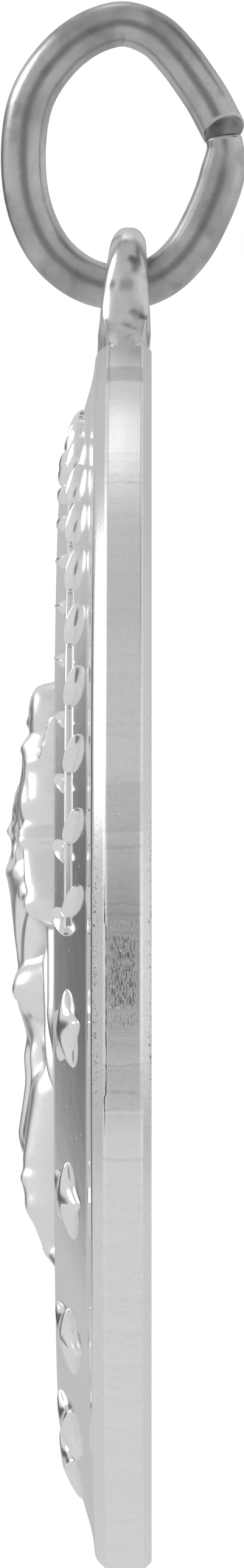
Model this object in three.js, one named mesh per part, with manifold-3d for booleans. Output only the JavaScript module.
// Round silver medal pendant: a cast disc with a raised border, a wreath, a ring of stars and a
// carried-child figure in relief, hanging by its cast eyelet from a split jump ring.
// Millimetres, +Z up. The front of the medal faces -Y. The origin is the top of the inside of the
// jump ring, where the chain carries the pendant.

import * as THREE from 'three';
import { mergeVertices } from 'three/addons/utils/BufferGeometryUtils.js';
import Module from 'manifold-3d';

const wasm = await Module();
wasm.setup();

// Disc: a flat back, a straight rim wall, a front bevel and a band that rises to a round ridge.
const discDiameter = 25.0;
const discRadius = discDiameter / 2;
const rimWallHeight = 0.81;
const rimEdgeHeight = 1.12;
const frontBevel = 0.26;
const backBevel = 0.16;
const ridgeDiameter = 18.6;
const ridgeRadius = ridgeDiameter / 2;
const ridgeHeight = 1.84;
const ridgeCrown = 0.38;
const ridgeCrownDrop = 0.03;
const fieldDiameter = 16.6;
const fieldRadius = fieldDiameter / 2;
const fieldHeight = 1.30;
const discSectors = 80;

// Eyelet, cast in one with the disc. It leans forward and thins towards its tip.
const eyeletHoleDiameter = 1.36;
const eyeletHoleRadius = eyeletHoleDiameter / 2;
const eyeletBand = 0.62;
const eyeletOuterRadius = eyeletHoleRadius + eyeletBand;
const eyeletCentreRise = 1.04;
const eyeletFillet = 1.4;
const eyeletRootThickness = 1.05;
const eyeletTipThickness = 0.62;
const eyeletBackLean = 0.14;
const eyeletTipRound = 0.3;
const eyeletTipLeast = 0.12;
const eyeletTipShrink = 0.8;
const eyeletChamfer = 0.13;
const eyeletChamferSteps = 2;
const eyeletArcSteps = 14;
const eyeletFilletSteps = 7;
const eyeletHoleSides = 18;

// Jump ring: one round wire bent to an oval, with its two cut ends on the rear side.
const wireDiameter = 0.92;
const wireRadius = wireDiameter / 2;
const ringInsideWidth = 3.2;
const ringInsideHeight = 4.46;
const ringShiftToBack = 0.05;
const ringEndGap = 0.2;
const ringSplitTurn = 260.7;
const upperEndAside = 0.14;
const lowerEndAside = -0.12;
const wireSides = 12;
const wireSteps = 60;

// Where the medal hangs on the wire.
const hangingClearance = 0.14;
const backPlaneY = 0.61;

// Ornaments on the band, in a ring round the ridge.
const ornamentFromRidge = 1.04;
const ornamentRadius = ridgeRadius + ornamentFromRidge;
const ornamentRoot = 0.16;
const starCount = 10;
const starPoints = 5;
const starPitchDeg = 18.6;
const starRadius = 0.75;
const starWaist = 0.4;
const starWall = 0.03;
const starCrown = 0.11;
const wreathSlots = 17;
const wreathPitchDeg = 9.81;
const leafLength = 1.1;
const leafWidth = 0.44;
const leafSplayDeg = 38;
const leafGap = 0.07;
const leafLead = 0.24;
const leafWall = 0.03;
const leafCrown = 0.12;
const leafSideSteps = 4;
const berryRadius = 0.3;
const berryCrown = 0.14;
const berrySides = 12;

// Relief of the figure. It stands on the field and reaches past the ridge.
const figureHeight = 12.3;
const figureCentreDrop = 0.4;
const figureRelief = 1.66;
const formSides = 12;
const formCapSteps = 3;
const formRoot = 0.35;

// Points closer than this are one point.
const weldDistance = 1e-5;

// Colour and finish.
const silverColour = 0xc9c8c6;
const silverRoughness = 0.18;
const silverMetalness = 1.0;

// The figure's forms, as seen from the front. Places and widths are shares of the figure's height,
// counted from its middle. Rises are shares of the relief above the field.
const figureForms = [
  { form: 'halo', from: [0.076, 0.42], to: [0.076, 0.43], wide: [0.1, 0.1], rise: [0.16, 0.16] },
  { form: 'staff', from: [-0.27, 0.46], to: [-0.235, -0.5], wide: [0.018, 0.018], rise: [0.5, 0.5] },
  { form: 'cloak', from: [0.1, 0.08], to: [0.25, -0.1], wide: [0.09, 0.1], rise: [0.5, 0.42] },
  { form: 'cloak end', from: [0.25, -0.1], to: [0.3, -0.26], wide: [0.09, 0.035], rise: [0.4, 0.24] },
  { form: 'rear leg', from: [-0.06, -0.22], to: [-0.15, -0.43], wide: [0.06, 0.036], rise: [0.66, 0.46] },
  { form: 'skirt', from: [0.0, -0.06], to: [0.01, -0.22], wide: [0.11, 0.155], rise: [0.76, 0.76] },
  { form: 'thigh', from: [0.085, -0.2], to: [0.105, -0.33], wide: [0.082, 0.068], rise: [0.79, 0.86] },
  { form: 'shin', from: [0.105, -0.32], to: [0.12, -0.42], wide: [0.066, 0.043], rise: [0.85, 0.6] },
  { form: 'foot', from: [0.115, -0.45], to: [0.16, -0.465], wide: [0.042, 0.03], rise: [0.48, 0.4] },
  { form: 'torso', from: [-0.01, 0.13], to: [0.004, -0.01], wide: [0.112, 0.096], rise: [0.98, 0.87] },
  { form: 'shoulders', from: [-0.105, 0.14], to: [0.1, 0.14], wide: [0.06, 0.06], rise: [0.86, 0.86] },
  { form: 'waist roll', from: [-0.085, -0.04], to: [0.09, -0.042], wide: [0.064, 0.064], rise: [0.93, 0.93] },
  { form: 'staff arm', from: [-0.12, 0.13], to: [-0.2, 0.05], wide: [0.043, 0.034], rise: [0.78, 0.72] },
  { form: 'staff forearm', from: [-0.2, 0.05], to: [-0.248, 0.15], wide: [0.034, 0.026], rise: [0.72, 0.68] },
  { form: 'carrying arm', from: [0.115, 0.13], to: [0.195, 0.12], wide: [0.043, 0.034], rise: [0.78, 0.75] },
  { form: 'carrying forearm', from: [0.195, 0.12], to: [0.14, 0.235], wide: [0.034, 0.026], rise: [0.75, 0.82] },
  { form: 'head', from: [-0.05, 0.265], to: [-0.05, 0.232], wide: [0.062, 0.06], rise: [1.0, 0.99] },
  { form: 'child body', from: [0.08, 0.365], to: [0.085, 0.27], wide: [0.064, 0.07], rise: [0.78, 0.88] },
  { form: 'child leg', from: [0.065, 0.27], to: [0.04, 0.18], wide: [0.032, 0.024], rise: [0.88, 0.9] },
  { form: 'child arm', from: [0.12, 0.34], to: [0.17, 0.41], wide: [0.024, 0.018], rise: [0.6, 0.5] },
  { form: 'child head', from: [0.075, 0.44], to: [0.075, 0.425], wide: [0.062, 0.06], rise: [0.76, 0.76] },
];

// Crests of the water below the figure: a crest's place below the disc's centre and its half length
// are shares of the field's radius, its width too, and its rise is a share of the relief.
const waterCrests = [
  { drop: 0.7, halfLength: 0.62, wide: 0.05, rise: 0.2 },
  { drop: 0.8, halfLength: 0.5, wide: 0.05, rise: 0.17 },
  { drop: 0.9, halfLength: 0.32, wide: 0.05, rise: 0.14 },
];

// The jump ring's wire, turn by turn in degrees from the bottom, round by the front. reach is the
// share of the oval's radius there, and aside the share of the wire's radius that it leaves the plane.
const ringBends = [
  { turn: -92, reach: 1.003, aside: -0.1 },
  { turn: -80, reach: 0.98, aside: -0.08 },
  { turn: -62, reach: 0.945, aside: -0.03 },
  { turn: -40, reach: 0.96, aside: 0 },
  { turn: -20, reach: 0.985, aside: 0 },
  { turn: 0, reach: 1.0, aside: 0 },
  { turn: 22, reach: 1.015, aside: 0 },
  { turn: 44, reach: 1.03, aside: 0 },
  { turn: 66, reach: 1.02, aside: 0 },
  { turn: 90, reach: 1.0, aside: 0 },
  { turn: 115, reach: 1.012, aside: 0 },
  { turn: 138, reach: 0.99, aside: 0 },
  { turn: 160, reach: 0.99, aside: 0 },
  { turn: 180, reach: 1.0, aside: 0 },
  { turn: 199, reach: 0.965, aside: 0 },
  { turn: 216, reach: 0.915, aside: 0.02 },
  { turn: 230, reach: 0.903, aside: 0.06 },
  { turn: 243, reach: 0.93, aside: 0.1 },
  { turn: 253, reach: 0.968, aside: 0.12 },
];

const bandSlope = (ridgeHeight - ridgeCrownDrop - rimEdgeHeight)
  / (discRadius - frontBevel - ridgeRadius - ridgeCrown);
const bandTilt = Math.atan(bandSlope);
const eyeletCentre = discRadius + eyeletCentreRise;
const eyeletTip = eyeletCentre + eyeletOuterRadius;
const ringHalfHeight = (ringInsideHeight + wireDiameter) / 2;
const ringHalfWidth = (ringInsideWidth + wireDiameter) / 2;
const wireBottomZ = -(ringInsideHeight + wireRadius);
const discCentreZ = wireBottomZ + wireRadius + hangingClearance - eyeletHoleRadius - eyeletCentre;

// Height of the sloping band above the back, at a distance from the disc's centre.
function bandHeight(radius) {
  return rimEdgeHeight + (discRadius - frontBevel - radius) * bandSlope;
}

// Points along an arc, without its last one.
function arcPoints(x, y, radius, start, end, steps) {
  const points = [];
  for (let step = 0; step < steps; step += 1) {
    const angle = THREE.MathUtils.lerp(start, end, step / steps);
    points.push(new THREE.Vector2(x + radius * Math.cos(angle), y + radius * Math.sin(angle)));
  }
  return points;
}

// One level ring of points round the disc's axis.
function discRing(radius, height) {
  return arcPoints(0, 0, radius, 0, 2 * Math.PI, discSectors).map(({ x, y }) => [x, y, height]);
}

// A closed mesh through rings of points, from a pole in front to a pole behind.
function meshThroughRings(frontPole, rings, backPole) {
  const positions = [frontPole, ...rings.flat(), backPole].flat();
  const count = rings[0].length;
  const last = 1 + rings.length * count;
  const indices = [];
  for (let sector = 0; sector < count; sector += 1) {
    const next = (sector + 1) % count;
    indices.push(0, 1 + sector, 1 + next);
    for (let row = 0; row + 1 < rings.length; row += 1) {
      const inner = 1 + row * count;
      const outer = inner + count;
      indices.push(inner + sector, outer + sector, outer + next);
      indices.push(inner + sector, outer + next, inner + next);
    }
    indices.push(last, last - count + next, last - count + sector);
  }
  const geometry = new THREE.BufferGeometry();
  geometry.setAttribute('position', new THREE.Float32BufferAttribute(positions, 3));
  geometry.setIndex(indices);
  return geometry;
}

function toSolid(geometry) {
  const bare = geometry.clone();
  bare.deleteAttribute('normal');
  bare.deleteAttribute('uv');
  const merged = mergeVertices(bare, weldDistance);
  return new wasm.Manifold(new wasm.Mesh({
    numProp: 3,
    vertProperties: new Float32Array(merged.attributes.position.array),
    triVerts: new Uint32Array(merged.index.array),
  }));
}

function toGeometry(solid) {
  const mesh = solid.getMesh();
  const geometry = new THREE.BufferGeometry();
  geometry.setAttribute('position', new THREE.BufferAttribute(mesh.vertProperties, 3));
  geometry.setIndex(new THREE.BufferAttribute(mesh.triVerts, 1));
  geometry.computeVertexNormals();
  return geometry;
}

// The disc lies on its back here: x to the right, y to the eyelet and z out of the front.
function discGeometry() {
  const crownSide = ridgeHeight - ridgeCrownDrop;
  const rings = [
    discRing(fieldRadius, fieldHeight),
    discRing(ridgeRadius - ridgeCrown, crownSide),
    discRing(ridgeRadius, ridgeHeight),
    discRing(ridgeRadius + ridgeCrown, crownSide),
    discRing(discRadius - frontBevel, rimEdgeHeight),
    discRing(discRadius, rimWallHeight),
    discRing(discRadius, backBevel),
    discRing(discRadius - backBevel, 0),
  ];
  return meshThroughRings([0, 0, fieldHeight], rings, [0, 0, 0]);
}

// A rounded form that lies on the field from one place to another, with an oval section. Widths and
// rises change evenly from its start to its end, and its underside is sunk in the field.
function formGeometry(start, end, wide, rise) {
  const run = new THREE.Vector2().subVectors(end, start);
  const length = run.length();
  const along = run.clone().divideScalar(length);
  const across = new THREE.Vector2(-along.y, along.x);
  const sections = [];
  for (let step = 1; step <= formCapSteps; step += 1) {
    const angle = (step / formCapSteps) * (Math.PI / 2);
    sections.push({ place: -wide[0] * Math.cos(angle), fullness: Math.sin(angle), share: 0 });
  }
  for (let step = formCapSteps; step >= 1; step -= 1) {
    const angle = (step / formCapSteps) * (Math.PI / 2);
    sections.push({ place: length + wide[1] * Math.cos(angle), fullness: Math.sin(angle), share: 1 });
  }
  const point = (place, side, height) => {
    const spot = start.clone().addScaledVector(along, place).addScaledVector(across, side);
    return [spot.x, spot.y, fieldHeight + height];
  };
  const rings = sections.map(({ place, fullness, share }) => {
    const width = THREE.MathUtils.lerp(wide[0], wide[1], share) * fullness;
    const height = THREE.MathUtils.lerp(rise[0], rise[1], share) * fullness;
    return arcPoints(0, 0, 1, 0, 2 * Math.PI, formSides).map(({ x, y }) => (
      point(place, -x * width, y * (y > 0 ? height : formRoot * fullness))
    ));
  });
  return meshThroughRings(point(-wide[0], 0, 0), rings, point(length + wide[1], 0, 0));
}

function figureGeometries() {
  return figureForms.map(({ from, to, wide, rise }) => formGeometry(
    new THREE.Vector2(...from).multiplyScalar(figureHeight).sub(new THREE.Vector2(0, figureCentreDrop)),
    new THREE.Vector2(...to).multiplyScalar(figureHeight).sub(new THREE.Vector2(0, figureCentreDrop)),
    wide.map((share) => share * figureHeight),
    rise.map((share) => share * figureRelief),
  ));
}

function waterGeometries() {
  return waterCrests.map(({ drop, halfLength, wide, rise }) => formGeometry(
    new THREE.Vector2(-halfLength, -drop).multiplyScalar(fieldRadius),
    new THREE.Vector2(halfLength, -drop).multiplyScalar(fieldRadius),
    [wide * fieldRadius, wide * fieldRadius],
    [rise * figureRelief, rise * figureRelief],
  ));
}

// Outline of the eyelet: its round end, and fillets that flow into the rim.
function eyeletOutline() {
  const rimReach = discRadius + eyeletFillet;
  const eyeReach = eyeletOuterRadius + eyeletFillet;
  const filletY = (rimReach ** 2 - eyeReach ** 2 + eyeletCentre ** 2) / (2 * eyeletCentre);
  const filletX = Math.sqrt(rimReach ** 2 - filletY ** 2);
  const atRim = Math.atan2(-filletY, -filletX);
  const atEye = Math.atan2(eyeletCentre - filletY, -filletX);
  const turnEnd = atEye > atRim ? atEye - 2 * Math.PI : atEye;
  const eyeStart = Math.atan2(filletY - eyeletCentre, filletX);
  const footX = (filletX * discRadius) / rimReach;
  const footY = (filletY * discRadius) / rimReach;

  const shape = new THREE.Shape([
    new THREE.Vector2(footX, footY - eyeletBand),
    ...arcPoints(filletX, filletY, eyeletFillet, atRim, turnEnd, eyeletFilletSteps),
    ...arcPoints(0, eyeletCentre, eyeletOuterRadius, eyeStart, Math.PI - eyeStart, eyeletArcSteps),
    ...arcPoints(-filletX, filletY, eyeletFillet, Math.PI - turnEnd, Math.PI - atRim, eyeletFilletSteps),
    new THREE.Vector2(-footX, footY),
    new THREE.Vector2(-footX, footY - eyeletBand),
  ]);
  const hole = arcPoints(0, eyeletCentre, eyeletHoleRadius, 0, -2 * Math.PI, eyeletHoleSides);
  shape.holes.push(new THREE.Path(hole));
  return shape;
}

// Back and front faces of the eyelet at a height up the medal: both lean in to a rounded tip.
function eyeletFaces(y) {
  const climb = THREE.MathUtils.clamp((y - discRadius) / (eyeletTip - discRadius), 0, 1);
  const back = eyeletBackLean * climb;
  const front = THREE.MathUtils.lerp(eyeletRootThickness, eyeletBackLean + eyeletTipThickness, climb);
  const intoTip = Math.max(0, y - (eyeletTip - eyeletTipRound)) / eyeletTipRound;
  const middle = (back + front) / 2;
  const fullness = Math.sqrt(Math.max(eyeletTipLeast, 1 - eyeletTipShrink * intoTip ** 2));
  return [middle + (back - middle) * fullness, middle + (front - middle) * fullness];
}

function eyeletGeometry() {
  const chamferShare = eyeletChamfer / eyeletRootThickness;
  const geometry = new THREE.ExtrudeGeometry(eyeletOutline(), {
    depth: 1 - 2 * chamferShare,
    bevelThickness: chamferShare,
    bevelSize: eyeletChamfer,
    bevelOffset: -eyeletChamfer,
    bevelSegments: eyeletChamferSteps,
  });
  const position = geometry.attributes.position;
  for (let index = 0; index < position.count; index += 1) {
    const [back, front] = eyeletFaces(position.getY(index));
    position.setZ(index, THREE.MathUtils.lerp(back, front, position.getZ(index) + chamferShare));
  }
  return geometry;
}

// A small faceted boss: a wall round an outline, rising to one point above its middle.
function facetedBoss(outline, wall, crown) {
  const foot = outline.map(([x, y]) => [x, y, -ornamentRoot]);
  const top = outline.map(([x, y]) => [x, y, wall]);
  return meshThroughRings([0, 0, crown], [top, foot], [0, 0, -ornamentRoot]);
}

function starOutline() {
  const points = [];
  for (let corner = 0; corner < 2 * starPoints; corner += 1) {
    const angle = Math.PI / 2 + (corner * Math.PI) / starPoints;
    const reach = corner % 2 === 0 ? starRadius : starRadius * starWaist;
    points.push([reach * Math.cos(angle), reach * Math.sin(angle)]);
  }
  return points;
}

// A leaf along y, pointed at both ends.
function leafOutline(length, width) {
  const points = [];
  for (let step = 0; step < 2 * leafSideSteps; step += 1) {
    const side = step < leafSideSteps ? 1 : -1;
    const share = (step % leafSideSteps) / leafSideSteps;
    const swell = Math.sin(Math.PI * share) * (width / 2);
    points.push([side * swell, side * (share - 0.5) * length]);
  }
  return points;
}

function berryOutline() {
  const points = [];
  for (let side = 0; side < berrySides; side += 1) {
    const angle = (side / berrySides) * 2 * Math.PI;
    points.push([berryRadius * Math.cos(angle), berryRadius * Math.sin(angle)]);
  }
  return points;
}

// Seats an ornament on the band: x runs outwards down the slope, y round the disc, z off the band.
function seatOnBand(geometry, angle) {
  const radial = new THREE.Vector3(Math.cos(angle), Math.sin(angle), 0);
  const around = new THREE.Vector3(-Math.sin(angle), Math.cos(angle), 0);
  const normal = radial.clone().multiplyScalar(Math.sin(bandTilt));
  normal.z = Math.cos(bandTilt);
  const outward = new THREE.Vector3().crossVectors(around, normal);
  const place = radial.clone().multiplyScalar(ornamentRadius);
  place.z = bandHeight(ornamentRadius);
  const frame = new THREE.Matrix4().makeBasis(outward, around, normal).setPosition(place);
  return geometry.applyMatrix4(frame);
}

// Five stars down each side of the lower band, each with one point turned up the band.
function starGeometries() {
  const pitch = THREE.MathUtils.degToRad(starPitchDeg);
  const stars = [];
  for (let index = 0; index < starCount; index += 1) {
    const fromBottom = (index - (starCount - 1) / 2) * pitch;
    const geometry = facetedBoss(starOutline(), starWall, starCrown);
    if (fromBottom < 0) geometry.rotateZ(Math.PI);
    stars.push(seatOnBand(geometry, -Math.PI / 2 + fromBottom));
  }
  return stars;
}

// A wreath on the upper band: sprigs of three leaves that climb from both sides to a berry on top.
function wreathGeometries() {
  const perSide = (wreathSlots - 1) / 2;
  const pieces = [seatOnBand(facetedBoss(berryOutline(), leafWall, berryCrown), Math.PI / 2)];
  for (const side of [-1, 1]) {
    for (let slot = 1; slot <= perSide; slot += 1) {
      const angle = Math.PI / 2 - side * THREE.MathUtils.degToRad(slot * wreathPitchDeg);
      for (const splay of [-1, 0, 1]) {
        const leaf = facetedBoss(leafOutline(leafLength, leafWidth), leafWall, leafCrown);
        leaf.translate(0, leafLength / 2, 0);
        leaf.rotateZ(THREE.MathUtils.degToRad(-splay * leafSplayDeg));
        leaf.translate(splay * leafGap, splay === 0 ? leafLead - leafLength / 2 : -leafLength / 2, 0);
        if (side < 0) leaf.rotateZ(Math.PI);
        pieces.push(seatOnBand(leaf, angle));
      }
    }
  }
  return pieces;
}

function medalGeometry() {
  let solid = toSolid(discGeometry());
  const raised = [
    eyeletGeometry(), ...starGeometries(), ...wreathGeometries(), ...waterGeometries(),
    ...figureGeometries(),
  ];
  for (const piece of raised) {
    solid = solid.add(toSolid(piece));
  }
  return toGeometry(solid);
}

// Centre line of the jump ring's wire, in the plane x = 0.
function ringPath() {
  const centreZ = wireRadius - ringHalfHeight;
  const halfGapTurn = THREE.MathUtils.radToDeg(ringEndGap / 2 / ringHalfHeight);
  const bends = [
    { turn: ringSplitTurn + halfGapTurn - 360, reach: 1, aside: lowerEndAside },
    ...ringBends,
    { turn: ringSplitTurn - halfGapTurn, reach: 1, aside: upperEndAside },
  ];
  const points = bends.map(({ turn, reach, aside }) => {
    const angle = THREE.MathUtils.degToRad(turn);
    const y = ringShiftToBack - ringHalfWidth * reach * Math.sin(angle);
    const z = centreZ - ringHalfHeight * reach * Math.cos(angle);
    return new THREE.Vector3(aside * wireRadius, y, z);
  });
  return new THREE.CatmullRomCurve3(points, false, 'centripetal');
}

function ringGeometry() {
  const section = new THREE.Shape();
  section.absarc(0, 0, wireRadius, 0, 2 * Math.PI, false);
  return new THREE.ExtrudeGeometry(section, {
    steps: wireSteps,
    curveSegments: wireSides / 2,
    extrudePath: ringPath(),
  });
}

const silver = new THREE.MeshStandardMaterial({
  color: silverColour,
  roughness: silverRoughness,
  metalness: silverMetalness,
});

const medal = new THREE.Mesh(medalGeometry(), silver);
medal.name = 'medal';
medal.position.set(0, backPlaneY, discCentreZ);
medal.rotation.x = Math.PI / 2;

const jumpRing = new THREE.Mesh(ringGeometry(), silver.clone());
jumpRing.name = 'jump_ring';

const pendant = new THREE.Group();
pendant.add(medal, jumpRing);

export default pendant;
